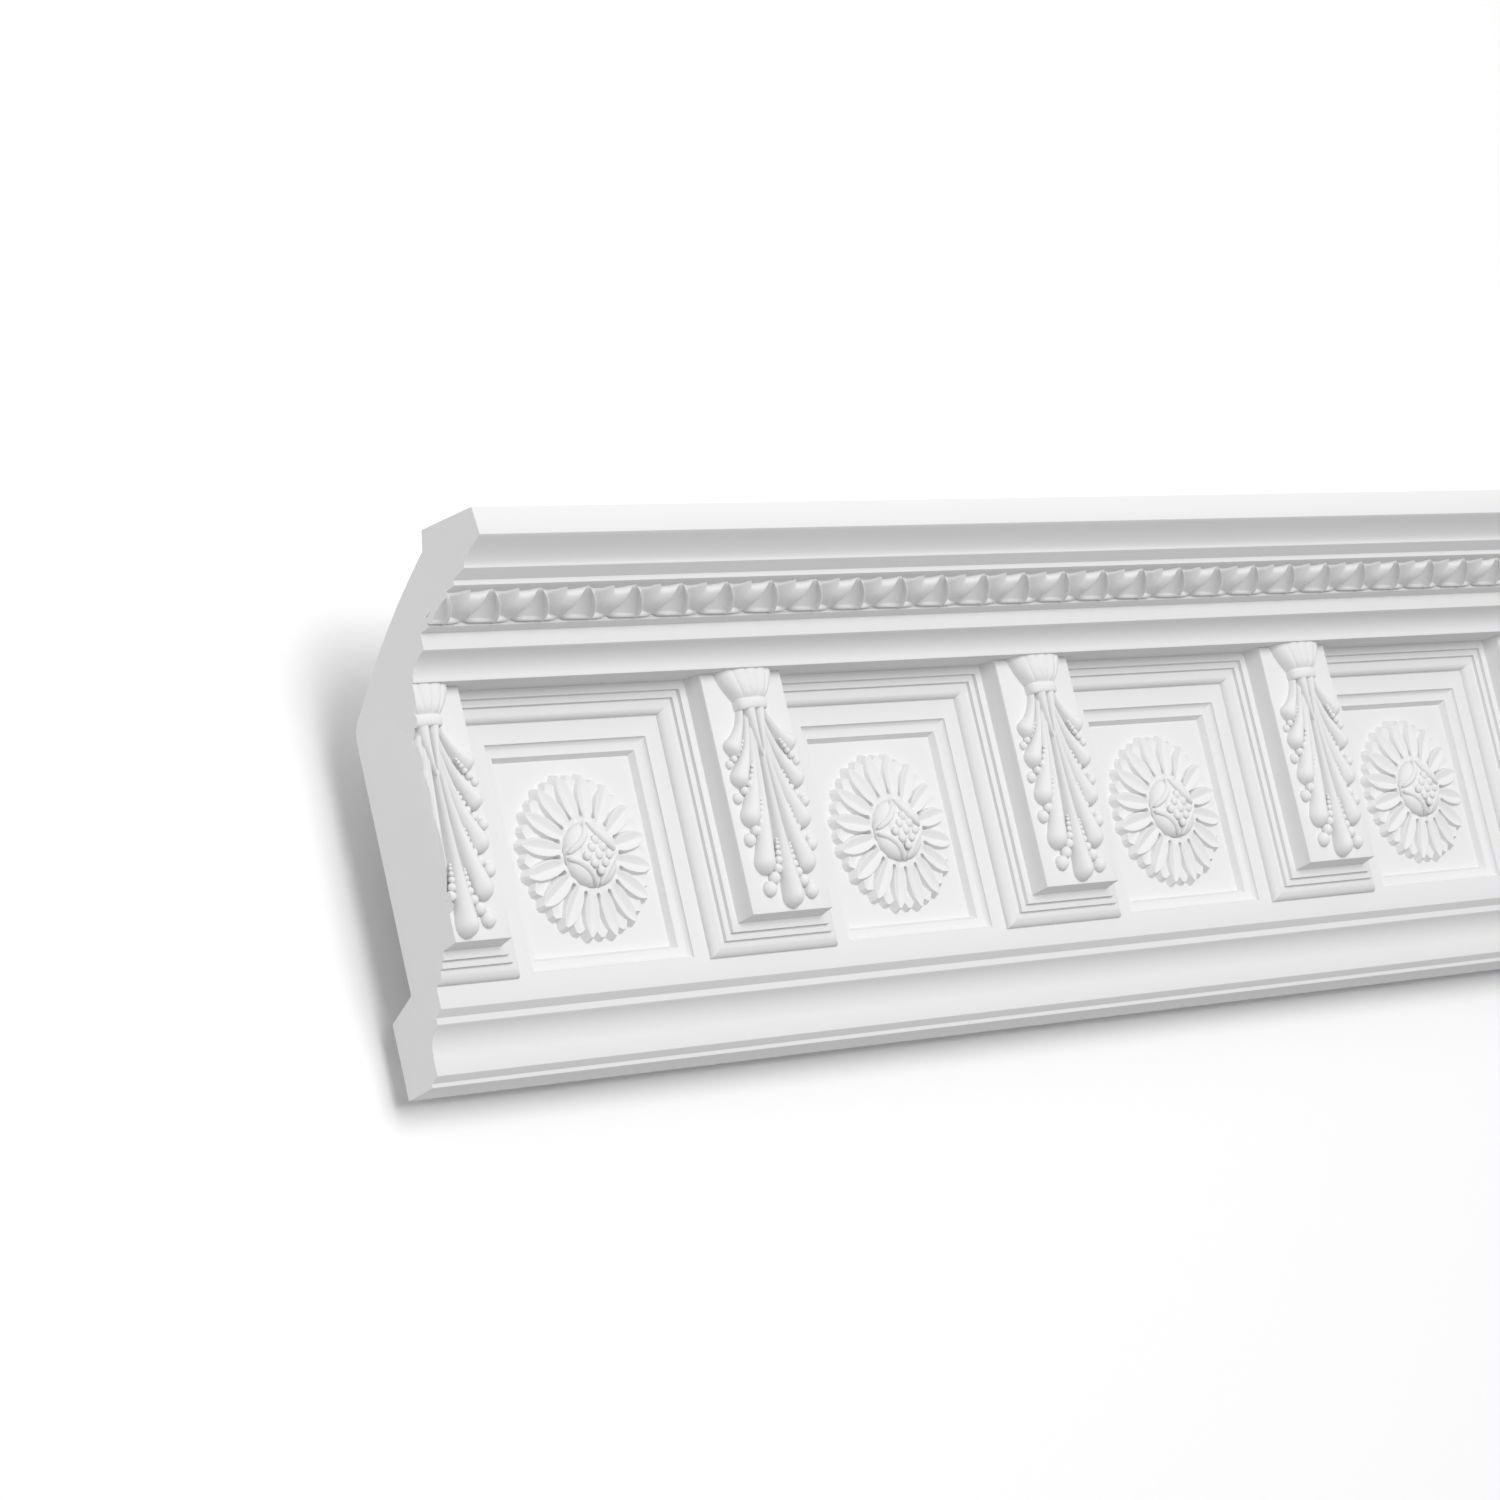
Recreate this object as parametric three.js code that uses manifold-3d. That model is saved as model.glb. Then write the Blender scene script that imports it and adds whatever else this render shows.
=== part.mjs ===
// Carved cornice moulding, one metre of a run, cast in one piece.
// Modelled as it is drawn in a section: X along the wall, Y out from the wall, Z down from the ceiling.
// The mesh is then turned so that +Z is up, with its origin in the middle of the face on the wall.
// Sizes are in millimetres.
import * as THREE from 'three';
import { mergeVertices } from 'three/addons/utils/BufferGeometryUtils.js';
import Module from 'manifold-3d';

const wasm = await Module();
wasm.setup();

// Run of the pattern along the wall
const LENGTH = 1000;
const MODULE = 200;
const FIRST_MODILLION = 7; // its middle, from the left end

// Back, which clears the corner of the room and rests on wall and ceiling by two strips
const BACK_GAP = 16;
const FIELD_THICKNESS = 17.5;
const WALL_STRIP = 34.5;
const WALL_SHOULDER = 9; // height over which the back leaves the wall
const CEILING_STRIP = 34;
const CEILING_SHOULDER = { depth: 2.5, height: 9 }; // where the back leaves the ceiling
const BACK_BEND = { drop: 70, round: 7 }; // where the back starts to lean out, and the round of that bend
const BACK_BULGE = 2.6; // swell of the leaning back

// Members over the carved field, from the ceiling down: how far each goes in, and its height
const FASCIA = { lean: 1.5, height: 12.8 };
const FASCIA_COVE = { depth: 14.3, height: 10.85, fullness: 0.37 };
const GROOVE_BROW = { depth: 8.3, height: 2.95 };
const GROOVE = { depth: 5.4, height: 0.9, fillet: 2.3 };
const RIBBON_BED = { depth: 16.4, height: 9.2 };
const RIBBON_FILLET = { height: 2.2, nose: 1.1 };
const LEDGE = { depth: 5.9, height: 1.2 };
const FLAT_BAND = 7.4;
const CROWN_COVE = { depth: 10.9, height: 11.65, fullness: 0.67 };
const SOFFIT_DEPTH = 18.4;

// Stepped frame round each modillion and along the top of the field: width on the field, and rise
const FRAME_INNER = { width: 4, rise: 2.1 };
const FRAME_OUTER = { width: 3.3, rise: 1.9 };
const FRAME_ROUND = { width: 6.4, rise: 4.8 };

// Modillion, the flat block between two coffers
const MODILLION = { width: 51.6, height: 114, rise: 9.5, draft: 1.6, top_round: 2.6 };

// Field and its coffers
const FIELD_FOOT = 10; // field below the modillion's frame
const COFFER_MARGIN = 9.5;
const COFFER_FOOT = 11.8; // field below the coffer
const COFFER_COVE = { width: 5.5, depth: 3.3 };
const COFFER_RISER = { width: 1.7, depth: 3.5 };

// Members under the field, from its edge down
const FIELD_BROW = { depth: 4.6, height: 2.9 };
const FOOT_FILLET = 3;
const FOOT_COVE = { depth: 7, height: 13.5, fullness: 0.67 };
const FOOT_FLAT = 7.8;
const FOOT_STEP = { depth: 4.8, height: 2.3 };
const FOOT_LIP = 1.9;
const FOOT_SLOPE = 1.95;

// Rosette: front petals with as many tips of back petals between them, and a bud with its boss of seeds.
// Heights are over the floor of the coffer.
const PETALS = 16;
const ROSETTE = { clearance: 1.6, low: 1 }; // gap to the coffer's wall, and how far its middle is lower
const PETAL_DRAFT = 2.9; // how far the edge of a petal stands back from its foot
const PETAL_RISE = { crease: 3.9, rim: 5.6, back: 3.2 };
const PETAL_REACH = { crease: 1, rim: 0.955, back: 0.965 }; // shares of the rosette's radius
const BUD = { share: 0.4, rise: 11.3, sides: 12, notch: 0.9 }; // radius as a share of the rosette's
const BUD_RINGS = [[0, 0.3], [0.5, 0.85], [0.8, 1]]; // turn from foot to crown, and share of the rise
const SEED_BOSS = { diagonal: 19, crown: 15, tip: 2, rise: 13.2 };

// Husk drop on each modillion, drawn at this height and scaled to the modillion.
// Drops are from the soffit, distances across are from its middle line, and rises are over the face.
const HUSK_DRAWN_HEIGHT = 112.3;
const HUSK_CLEARANCE = 1.7; // from the foot of the modillion
const CAP = {
  height: 13.6, top_half: 17.6, foot_half: 9.8, rise: 8.1, foot_rise: 5.2, folds: 5, scallop: 0.12,
};
const RING = { height: 5.3, half: 9.4, rise: 7.3, edge_rise: 6.2, facets: 5 };
const ARCH_FULLNESS = 0.5; // 1 gives a half round, less a flatter crown
const SEPAL = { side: 3.2, drop: 18, foot: 38, half: 2.2, top_half: 3.6, rise: 5.6 };
const LOBES = 4;
const LOBE = { drop: 34.3, gap: 15.3, growth: 1.2, side: 18.6, inset: 1.7, radius: 5.3, rise: 6 };
const LOBE_STEM = { side: 5, over: 6, half: 1.6, bend_side: 7, bend: 0.55 }; // over the last lobe's drop
const RIGHT_STRING = { out: 1.5, down: 1.3 }; // how much further the carving reaches on the right
const PENDANT = { drop: 107.6, radius: 5.4, rise: 7.9, stem: 66, stem_half: 2.2 };
const BEAD = { radius: 2.9, growth: 0.65, in: 0.6, below: 0.8, crown: 0.6, sides: 5 };
const TEAR = { middle: 0.5, swell: 1.5, full: 0.95, end: 1.12, end_half: 0.55, overrun: 6 };

// Ribbon twisted along its bed: ridges that bow from the top edge to the foot
const RIBBONS_PER_MODULE = 7;
const RIBBON_PHASE = 25; // first tip, from the left end
const RIBBON = { rise: 3.5, bow: 0.44, bow_power: 1.9, under: 0.02 };
const RIBBON_COLUMNS = [[0, 1], [0.45, 0.8], [0.84, 0.25]]; // share of the pitch, and share of the rise
const RIBBON_ROWS = [[0, 0], [0.15, 0.85], [0.75, 1], [1, 0]]; // share of the bed, and share of the rise

// Places that follow from the sizes
const fieldOut = BACK_GAP + FIELD_THICKNESS;
const frameRise = FRAME_INNER.rise + FRAME_OUTER.rise + FRAME_ROUND.rise;
const frameWidth = FRAME_INNER.width + FRAME_OUTER.width + FRAME_ROUND.width;
const frameOut = fieldOut + frameRise;
const faceOut = frameOut + MODILLION.rise;
const soffitOut = frameOut + SOFFIT_DEPTH;
const ribbonFootOut = soffitOut + CROWN_COVE.depth + LEDGE.depth;
const ribbonTopOut = ribbonFootOut + RIBBON_BED.depth;
const lipOut = ribbonTopOut + GROOVE.depth + GROOVE_BROW.depth + FASCIA_COVE.depth;
const ceilingOut = lipOut - FASCIA.lean;
const ribbonTop = FASCIA.height + FASCIA_COVE.height + GROOVE_BROW.height + GROOVE.fillet + GROOVE.height;
const ribbonFoot = ribbonTop + RIBBON_BED.height;
const soffit = ribbonFoot + RIBBON_FILLET.height + LEDGE.height + FLAT_BAND + CROWN_COVE.height;
const faceFoot = soffit + MODILLION.height;
const fieldFoot = faceFoot + MODILLION.draft + frameWidth + FIELD_FOOT;
const footHeight = FIELD_BROW.height + FOOT_FILLET + FOOT_COVE.height + FOOT_FLAT + FOOT_STEP.height;
const height = fieldFoot + footHeight + FOOT_LIP + FOOT_SLOPE;
const coffer = {
  halfWidth: MODULE / 2 - MODILLION.width / 2 - MODILLION.draft - frameWidth - COFFER_MARGIN,
  top: soffit + frameWidth + COFFER_MARGIN,
  foot: fieldFoot - COFFER_FOOT,
};
const cofferMiddle = (coffer.top + coffer.foot) / 2;
const cofferDepth = COFFER_COVE.depth + COFFER_RISER.depth;
const cofferFloor = fieldOut - cofferDepth;
const cofferInset = COFFER_COVE.width + COFFER_RISER.width;

const ROOT = 2; // how far a joined piece reaches into what carries it
const CURVE_STEPS = 4;

// Closed mesh of three.js made into a solid that can be joined and cut
function solid(geometry) {
  const bare = geometry.clone();
  bare.deleteAttribute('normal');
  bare.deleteAttribute('uv');
  const merged = mergeVertices(bare, 1e-4);
  const vertProperties = new Float32Array(merged.attributes.position.array);
  const triVerts = new Uint32Array(merged.index.array);
  return new wasm.Manifold(new wasm.Mesh({ numProp: 3, vertProperties, triVerts }));
}

// Closed solid through rings of equally many points, each end closed round its middle point.
// Rings that run the other way round would turn it inside out, so its faces are then turned back.
function loft(rings) {
  const sides = rings[0].length;
  const last = (rings.length - 1) * sides;
  const middles = [rings[0], rings[rings.length - 1]].map((ring) => {
    const sum = ring.reduce((total, point) => total.add(point), new THREE.Vector3());
    return sum.divideScalar(sides);
  });
  const points = [...rings.flat(), ...middles];
  const start = points.length - 2;
  const end = points.length - 1;
  const faces = [];
  for (let side = 0; side < sides; side += 1) {
    const next = (side + 1) % sides;
    for (let ring = 0; ring < last; ring += sides) {
      faces.push(ring + side, ring + next, ring + sides + next);
      faces.push(ring + side, ring + sides + next, ring + sides + side);
    }
    faces.push(start, next, side);
    faces.push(end, last + side, last + next);
  }
  const geometry = new THREE.BufferGeometry().setFromPoints(points);
  geometry.setIndex(faces);
  const shape = solid(geometry);
  if (shape.volume() > 0) return shape;
  geometry.setIndex(faces.reverse());
  return solid(geometry);
}

// Rectangle seen from the front, at a distance out from the wall; it runs anticlockwise about Y
function rectangle(left, right, top, foot, out) {
  return [[left, top], [left, foot], [right, foot], [right, top]].map(
    ([x, drop]) => new THREE.Vector3(x, out, drop),
  );
}

// Ring of points round a middle, seen from the front, from functions of the angle
function ringAt(x, drop, steps, radiusAt, outAt) {
  return Array.from({ length: steps }, (_, step) => {
    const angle = -step * 2 * Math.PI / steps;
    const radius = radiusAt(step);
    return new THREE.Vector3(x + radius * Math.cos(angle), outAt(step), drop + radius * Math.sin(angle));
  });
}

// Solids joined as one
function union(solids) {
  return wasm.Manifold.union(solids);
}

// Section of the plain run, from the ceiling down the front and back up behind
function section() {
  const shape = new THREE.Shape();
  let out = ceilingOut;
  let drop = 0;
  const go = (inward, down) => {
    out -= inward;
    drop += down;
    shape.lineTo(out, drop);
  };
  const cove = ({ depth, height: down, fullness }) => {
    const bend = drop + down * (1 - fullness);
    out -= depth;
    drop += down;
    shape.quadraticCurveTo(out, bend, out, drop);
  };
  shape.moveTo(out, drop);
  go(-FASCIA.lean, FASCIA.height);
  cove(FASCIA_COVE);
  go(GROOVE_BROW.depth, GROOVE_BROW.height);
  go(0, GROOVE.fillet);
  go(GROOVE.depth, GROOVE.height);
  go(RIBBON_BED.depth, RIBBON_BED.height);
  go(-RIBBON_FILLET.nose, RIBBON_FILLET.height / 2);
  go(RIBBON_FILLET.nose, RIBBON_FILLET.height / 2);
  go(LEDGE.depth, LEDGE.height);
  go(0, FLAT_BAND);
  cove(CROWN_COVE);
  go(SOFFIT_DEPTH, 0);
  go(0, FRAME_INNER.width);
  go(FRAME_INNER.rise, 0);
  go(0, FRAME_OUTER.width);
  go(FRAME_OUTER.rise, 0);
  shape.quadraticCurveTo(out, drop + FRAME_ROUND.width, fieldOut, drop + FRAME_ROUND.width);
  out = fieldOut;
  drop += FRAME_ROUND.width;
  go(0, fieldFoot - drop);
  go(FIELD_BROW.depth, FIELD_BROW.height);
  go(0, FOOT_FILLET);
  cove(FOOT_COVE);
  go(0, FOOT_FLAT);
  go(FOOT_STEP.depth, FOOT_STEP.height);
  go(0, FOOT_LIP);
  go(out, FOOT_SLOPE);
  go(0, -WALL_STRIP);
  go(-BACK_GAP, -WALL_SHOULDER);
  go(0, BACK_BEND.drop + BACK_BEND.round - drop);
  const bend = new THREE.Vector2(BACK_GAP, BACK_BEND.drop);
  const top = new THREE.Vector2(ceilingOut - CEILING_STRIP - CEILING_SHOULDER.depth, CEILING_SHOULDER.height);
  const lean = top.clone().sub(bend).normalize();
  const start = bend.clone().addScaledVector(lean, BACK_BEND.round);
  shape.quadraticCurveTo(bend.x, bend.y, start.x, start.y);
  const swell = start.clone().lerp(top, 0.5);
  swell.addScaledVector(new THREE.Vector2(lean.y, -lean.x), 2 * BACK_BULGE);
  shape.quadraticCurveTo(swell.x, swell.y, top.x, top.y);
  shape.lineTo(ceilingOut - CEILING_STRIP, 0);
  return shape;
}

// Plain run of the moulding, its section drawn along X
function run() {
  const geometry = new THREE.ExtrudeGeometry(section(), {
    depth: LENGTH, bevelEnabled: false, steps: 1, curveSegments: CURVE_STEPS,
  });
  const outY = new THREE.Vector3(0, 1, 0);
  const downZ = new THREE.Vector3(0, 0, 1);
  const alongX = new THREE.Vector3(1, 0, 0);
  geometry.applyMatrix4(new THREE.Matrix4().makeBasis(outY, downZ, alongX));
  return solid(geometry);
}

// Modillion block on its stepped frame, about its middle line x
function modillion(x) {
  const half = MODILLION.width / 2 + MODILLION.draft;
  const foot = faceFoot + MODILLION.draft;
  const level = (out, spread, rounding = 0) => rectangle(
    x - half - spread, x + half + spread, soffit - ROOT + rounding, foot + spread, out,
  );
  const outer = FRAME_INNER.width + FRAME_OUTER.width;
  const rings = [level(fieldOut - ROOT, frameWidth)];
  for (let step = 0; step <= CURVE_STEPS; step += 1) {
    const turn = step / CURVE_STEPS * Math.PI / 2;
    const spread = outer + FRAME_ROUND.width * Math.cos(turn);
    rings.push(level(fieldOut + FRAME_ROUND.rise * Math.sin(turn), spread));
  }
  rings.push(level(frameOut - FRAME_INNER.rise, outer));
  rings.push(level(frameOut - FRAME_INNER.rise, FRAME_INNER.width));
  rings.push(level(frameOut, FRAME_INNER.width));
  rings.push(level(frameOut, 0));
  rings.push(level(faceOut - MODILLION.top_round, -MODILLION.draft));
  rings.push(level(faceOut, -MODILLION.draft, ROOT + MODILLION.top_round));
  return loft(rings);
}

// Hollow of a coffer: a coved edge and a steep riser down to its floor
function cofferCut(x) {
  const level = (out, inset) => rectangle(
    x - coffer.halfWidth + inset, x + coffer.halfWidth - inset, coffer.top + inset, coffer.foot - inset, out,
  );
  const rings = [level(cofferFloor, cofferInset)];
  for (let step = 0; step <= CURVE_STEPS; step += 1) {
    const turn = step / CURVE_STEPS * Math.PI / 2;
    const inset = COFFER_COVE.width * (1 - Math.sin(turn));
    rings.push(level(fieldOut - COFFER_COVE.depth * Math.cos(turn), inset));
  }
  rings.push(level(fieldOut + ROOT, 0));
  return loft(rings);
}

// Rosette on the floor of a coffer, about its middle x
function rosette(x) {
  const radius = Math.min(coffer.halfWidth, (coffer.foot - coffer.top) / 2) - cofferInset - ROSETTE.clearance;
  const middle = cofferMiddle + ROSETTE.low;
  const parts = ['back', 'rim', 'crease', 'rim']; // what stands at each step round a petal
  const partAt = (step) => parts[step % parts.length];
  const petals = [[radius, () => -ROOT], [radius - PETAL_DRAFT, (name) => PETAL_RISE[name]]].map(
    ([reach, lift]) => ringAt(
      x, middle, PETALS * parts.length,
      (step) => reach * PETAL_REACH[partAt(step)],
      (step) => cofferFloor + lift(partAt(step)),
    ),
  );
  const dome = BUD_RINGS.map(([turn, share]) => {
    const half = radius * BUD.share * Math.cos(turn * Math.PI / 2);
    const lobed = (side) => half * (side % 3 === 0 ? BUD.notch : 1);
    return ringAt(x, middle, BUD.sides, lobed, () => cofferFloor + share * BUD.rise);
  });
  const boss = [
    [SEED_BOSS.diagonal, BUD.rise - ROOT], [SEED_BOSS.crown, BUD.rise], [SEED_BOSS.tip, SEED_BOSS.rise],
  ].map(([diagonal, rise]) => ringAt(x, middle, 4, () => diagonal / 2, () => cofferFloor + rise));
  return union([loft(petals), loft(dome), loft(boss)]);
}

// Ridge over the face of a modillion, with its foot sunk in: pairs of distance across and lift
function ridge(half, rise) {
  return [[half, 0], [0, rise], [-half, 0], [-half, -ROOT], [half, -ROOT]];
}

// Tapered body laid on the face along a curve: a stem that swells into a round end
function tear(from, bend, to, radius, stem, rise) {
  const curve = new THREE.QuadraticBezierCurve(from, bend, to);
  const stations = [
    [0, stem], [TEAR.middle, stem * TEAR.swell], [TEAR.full, radius], [TEAR.end, radius * TEAR.end_half],
  ];
  const rings = stations.map(([t, half]) => {
    const tangent = curve.getTangent(Math.min(t, 1)).normalize();
    const past = Math.max(0, t - 1) * radius * TEAR.overrun;
    const middle = curve.getPoint(Math.min(t, 1)).addScaledVector(tangent, past);
    return ridge(half, rise * half / radius).map(([across, lift]) => new THREE.Vector3(
      middle.x - tangent.y * across, faceOut + lift, middle.y + tangent.x * across,
    ));
  });
  return loft(rings);
}

// Husk drop on the face of the modillion at x: a gathered cap, its ring, two sepals, lobes and a pendant
function huskDrop(x) {
  const scale = (MODILLION.height - HUSK_CLEARANCE) / HUSK_DRAWN_HEIGHT;
  const point = (across, drop) => new THREE.Vector2(x + across * scale, soffit + drop * scale);
  const body = (from, bend, to, radius, stem, rise) => tear(
    from, bend, to, radius * scale, stem * scale, rise * scale,
  );
  const arch = (drop, half, rise, scallop, facets) => {
    const ring = [[half, -ROOT], [-half, -ROOT]];
    for (let step = 0; step <= facets; step += 1) {
      const turn = Math.PI * (1 - step / facets);
      const full = step % 2 === 1 ? 1 : 1 - scallop;
      ring.push([half * Math.cos(turn), rise * full * Math.sin(turn) ** ARCH_FULLNESS]);
    }
    return ring.map(([across, lift]) => new THREE.Vector3(
      x + across * scale, faceOut + lift * scale, soffit + drop * scale,
    ));
  };
  const cap = [
    [-ROOT / 2, CAP.top_half, CAP.rise], [CAP.height / 2, CAP.top_half, CAP.rise],
    [CAP.height, CAP.foot_half, CAP.foot_rise],
  ].map(([drop, half, rise]) => arch(drop, half, rise, CAP.scallop, CAP.folds * 2));
  const ring = [[0, RING.edge_rise], [0.5, RING.rise], [1, RING.edge_rise]].map(
    ([share, rise]) => arch(CAP.height + RING.height * share, RING.half, rise, 0, RING.facets),
  );
  const pieces = [loft(cap), loft(ring)];
  for (const side of [-1, 1]) {
    const sepalTop = point(side * SEPAL.side, SEPAL.drop);
    const sepalFoot = point(0, SEPAL.foot);
    pieces.push(body(
      sepalTop, sepalTop.clone().lerp(sepalFoot, 0.5), sepalFoot, SEPAL.half, SEPAL.top_half, SEPAL.rise,
    ));
    const further = side > 0 ? RIGHT_STRING : { out: 0, down: 0 };
    let drop = LOBE.drop;
    let gap = LOBE.gap;
    for (let lobe = 0; lobe < LOBES; lobe += 1) {
      const across = side * (LOBE.side - lobe * LOBE.inset) + further.out;
      const low = drop + further.down;
      const stem = point(side * LOBE_STEM.side, drop - gap - LOBE_STEM.over);
      const bend = point(side * LOBE_STEM.bend_side + further.out, drop - gap * LOBE_STEM.bend);
      pieces.push(body(stem, bend, point(across, low), LOBE.radius, LOBE_STEM.half, LOBE.rise));
      const size = BEAD.radius + lobe * BEAD.growth;
      const bead = point(across - side * BEAD.in, low + LOBE.radius + size * BEAD.below);
      pieces.push(loft([[size, -ROOT], [size * BEAD.crown, size * scale]].map(([half, lift]) => ringAt(
        bead.x, bead.y, BEAD.sides, () => half * scale, () => faceOut + lift,
      ))));
      drop += gap;
      gap *= LOBE.growth;
    }
  }
  const top = point(0, PENDANT.drop - PENDANT.stem);
  const foot = point(0, PENDANT.drop);
  pieces.push(body(top, top.clone().lerp(foot, 0.5), foot, PENDANT.radius, PENDANT.stem_half, PENDANT.rise));
  return union(pieces);
}

// Ribbon wound along its sloping bed, as one body with a ring of points at each column
function ribbon() {
  const pitch = MODULE / RIBBONS_PER_MODULE;
  const slope = Math.hypot(RIBBON_BED.depth, RIBBON_BED.height);
  const down = new THREE.Vector2(-RIBBON_BED.depth, RIBBON_BED.height).divideScalar(slope);
  const place = (x, share, lift) => new THREE.Vector3(
    x,
    ribbonTopOut + down.x * share * slope + down.y * lift,
    ribbonTop + down.y * share * slope - down.x * lift,
  );
  const bowAt = (share) => RIBBON.bow * pitch * (1 - (1 - share) ** RIBBON.bow_power);
  const rings = [];
  const turns = Math.ceil((LENGTH + 2 * RIBBON_PHASE) / pitch);
  for (let turn = -Math.ceil((RIBBON_PHASE + pitch) / pitch); turn < turns; turn += 1) {
    for (const [along, rise] of RIBBON_COLUMNS) {
      const x = RIBBON_PHASE + (turn + along) * pitch;
      const top = RIBBON_ROWS.map(([share, full]) => place(
        x + bowAt(share), share, RIBBON.rise * rise * full - RIBBON.under,
      ));
      rings.push([...top, place(x + bowAt(1), 1, -ROOT), place(x, 0, -ROOT)]);
    }
  }
  return loft(rings);
}

// Middles of the pieces of half width reach that show on the length, one in each module
function middles(first, reach) {
  const places = [];
  for (let x = first - MODULE; x - reach < LENGTH; x += MODULE) {
    if (x + reach > 0) places.push(x);
  }
  return places;
}

// Whole moulding, cut square at both ends
function cornice() {
  const modillions = middles(FIRST_MODILLION, MODILLION.width / 2 + MODILLION.draft + frameWidth);
  const coffers = middles(FIRST_MODILLION + MODULE / 2, coffer.halfWidth);
  const carved = union([run(), ribbon(), ...modillions.map(modillion), ...modillions.map(huskDrop)])
    .subtract(union(coffers.map(cofferCut)))
    .add(union(coffers.map(rosette)));
  const kept = new THREE.BoxGeometry(LENGTH, 2 * lipOut, 2 * height);
  kept.translate(LENGTH / 2, lipOut / 2, height / 2);
  return carved.intersect(solid(kept));
}

// Faces of a solid as a three.js mesh with flat shading
function meshOf(shape, material) {
  const { vertProperties, triVerts } = shape.getMesh();
  const geometry = new THREE.BufferGeometry();
  geometry.setAttribute('position', new THREE.BufferAttribute(new Float32Array(vertProperties), 3));
  geometry.setIndex(new THREE.BufferAttribute(new Uint32Array(triVerts), 1));
  return new THREE.Mesh(geometry, material);
}

const whitePrimer = new THREE.MeshStandardMaterial({
  color: 0xf1f1ef, roughness: 0.75, metalness: 0, flatShading: true,
});

const moulding = meshOf(cornice(), whitePrimer);
moulding.name = 'cornice_moulding';
moulding.rotation.x = Math.PI;
moulding.position.set(-LENGTH / 2, 0, height - WALL_STRIP / 2);

const part = new THREE.Group();
part.add(moulding);

export default part;
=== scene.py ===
import math

import bmesh
import bpy
from mathutils import Matrix, Vector
from mathutils.geometry import interpolate_bezier


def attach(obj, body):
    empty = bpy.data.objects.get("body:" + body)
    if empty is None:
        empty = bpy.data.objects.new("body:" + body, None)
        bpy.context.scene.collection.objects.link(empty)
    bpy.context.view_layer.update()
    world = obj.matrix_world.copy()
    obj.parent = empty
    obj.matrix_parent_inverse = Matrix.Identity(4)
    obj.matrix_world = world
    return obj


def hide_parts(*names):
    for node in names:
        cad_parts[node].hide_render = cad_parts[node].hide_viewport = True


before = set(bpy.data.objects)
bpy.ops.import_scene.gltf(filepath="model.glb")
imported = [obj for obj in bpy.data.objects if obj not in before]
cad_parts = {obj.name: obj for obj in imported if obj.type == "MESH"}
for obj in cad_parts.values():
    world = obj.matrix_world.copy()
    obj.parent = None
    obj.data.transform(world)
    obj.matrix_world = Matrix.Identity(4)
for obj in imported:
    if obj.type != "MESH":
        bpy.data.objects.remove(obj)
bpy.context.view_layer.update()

# Run of the pattern along the wall, the same as the part's
LENGTH = 1000
MODULE = 200
FIRST_MODILLION = 7

# Back
BACK_GAP = 16
FIELD_THICKNESS = 17.5
WALL_STRIP = 34.5
WALL_SHOULDER = 9
CEILING_STRIP = 34
CEILING_SHOULDER = (2.5, 9)
BACK_BEND_DROP = 70
BACK_BEND_ROUND = 7
BACK_BULGE = 2.6

# Members over the carved field, from the ceiling down: depth, height, and fullness for a cove
FASCIA = (1.5, 12.8)
FASCIA_COVE = (14.3, 10.85, 0.37)
GROOVE_BROW = (8.3, 2.95)
GROOVE_FILLET = 2.3
GROOVE = (5.4, 0.9)
RIBBON_BED = (16.4, 9.2)
RIBBON_SILL = 2.4  # upright face behind the foot of the ribbon
RIBBON_FILLET = 2.2
LEDGE = (5.9, 1.2)
FLAT_BAND = 7.4
CROWN_COVE = (10.9, 11.65, 0.67)
SOFFIT_DEPTH = 18.4

# Stepped frame round each modillion and along the top of the field: width and rise
FRAME_INNER = (4, 2.1)
FRAME_OUTER = (3.3, 1.9)
FRAME_ROUND = (6.4, 4.8)

# Modillion, field and coffers
MODILLION_WIDTH = 51.6
MODILLION_HEIGHT = 114
MODILLION_RISE = 9.5
MODILLION_DRAFT = 1.6
MODILLION_TOP_ROUND = 2.6
FIELD_FOOT = 10
COFFER_MARGIN = 9.5
COFFER_FOOT = 11.8
COFFER_COVE = (5.5, 3.3)
COFFER_RISER = (1.7, 3.5)

# Members under the field, from its edge down
FIELD_BROW = (4.6, 2.9)
FOOT_FILLET = 3
FOOT_COVE = (7, 13.5, 0.67)
FOOT_FLAT = 7.8
FOOT_STEP = (4.8, 2.3)
FOOT_LIP = 1.9
FOOT_SLOPE = 1.95

# Places that follow from the sizes
FIELD_OUT = BACK_GAP + FIELD_THICKNESS
FRAME_RISE = FRAME_INNER[1] + FRAME_OUTER[1] + FRAME_ROUND[1]
FRAME_WIDTH = FRAME_INNER[0] + FRAME_OUTER[0] + FRAME_ROUND[0]
FRAME_OUT = FIELD_OUT + FRAME_RISE
FACE_OUT = FRAME_OUT + MODILLION_RISE
SOFFIT_OUT = FRAME_OUT + SOFFIT_DEPTH
RIBBON_FOOT_OUT = SOFFIT_OUT + CROWN_COVE[0] + LEDGE[0]
RIBBON_TOP_OUT = RIBBON_FOOT_OUT + RIBBON_BED[0]
LIP_OUT = RIBBON_TOP_OUT + GROOVE[0] + GROOVE_BROW[0] + FASCIA_COVE[0]
CEILING_OUT = LIP_OUT - FASCIA[0]
RIBBON_TOP = FASCIA[1] + FASCIA_COVE[1] + GROOVE_BROW[1] + GROOVE_FILLET + GROOVE[1]
SOFFIT = RIBBON_TOP + RIBBON_BED[1] + RIBBON_FILLET + LEDGE[1] + FLAT_BAND + CROWN_COVE[1]
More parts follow.
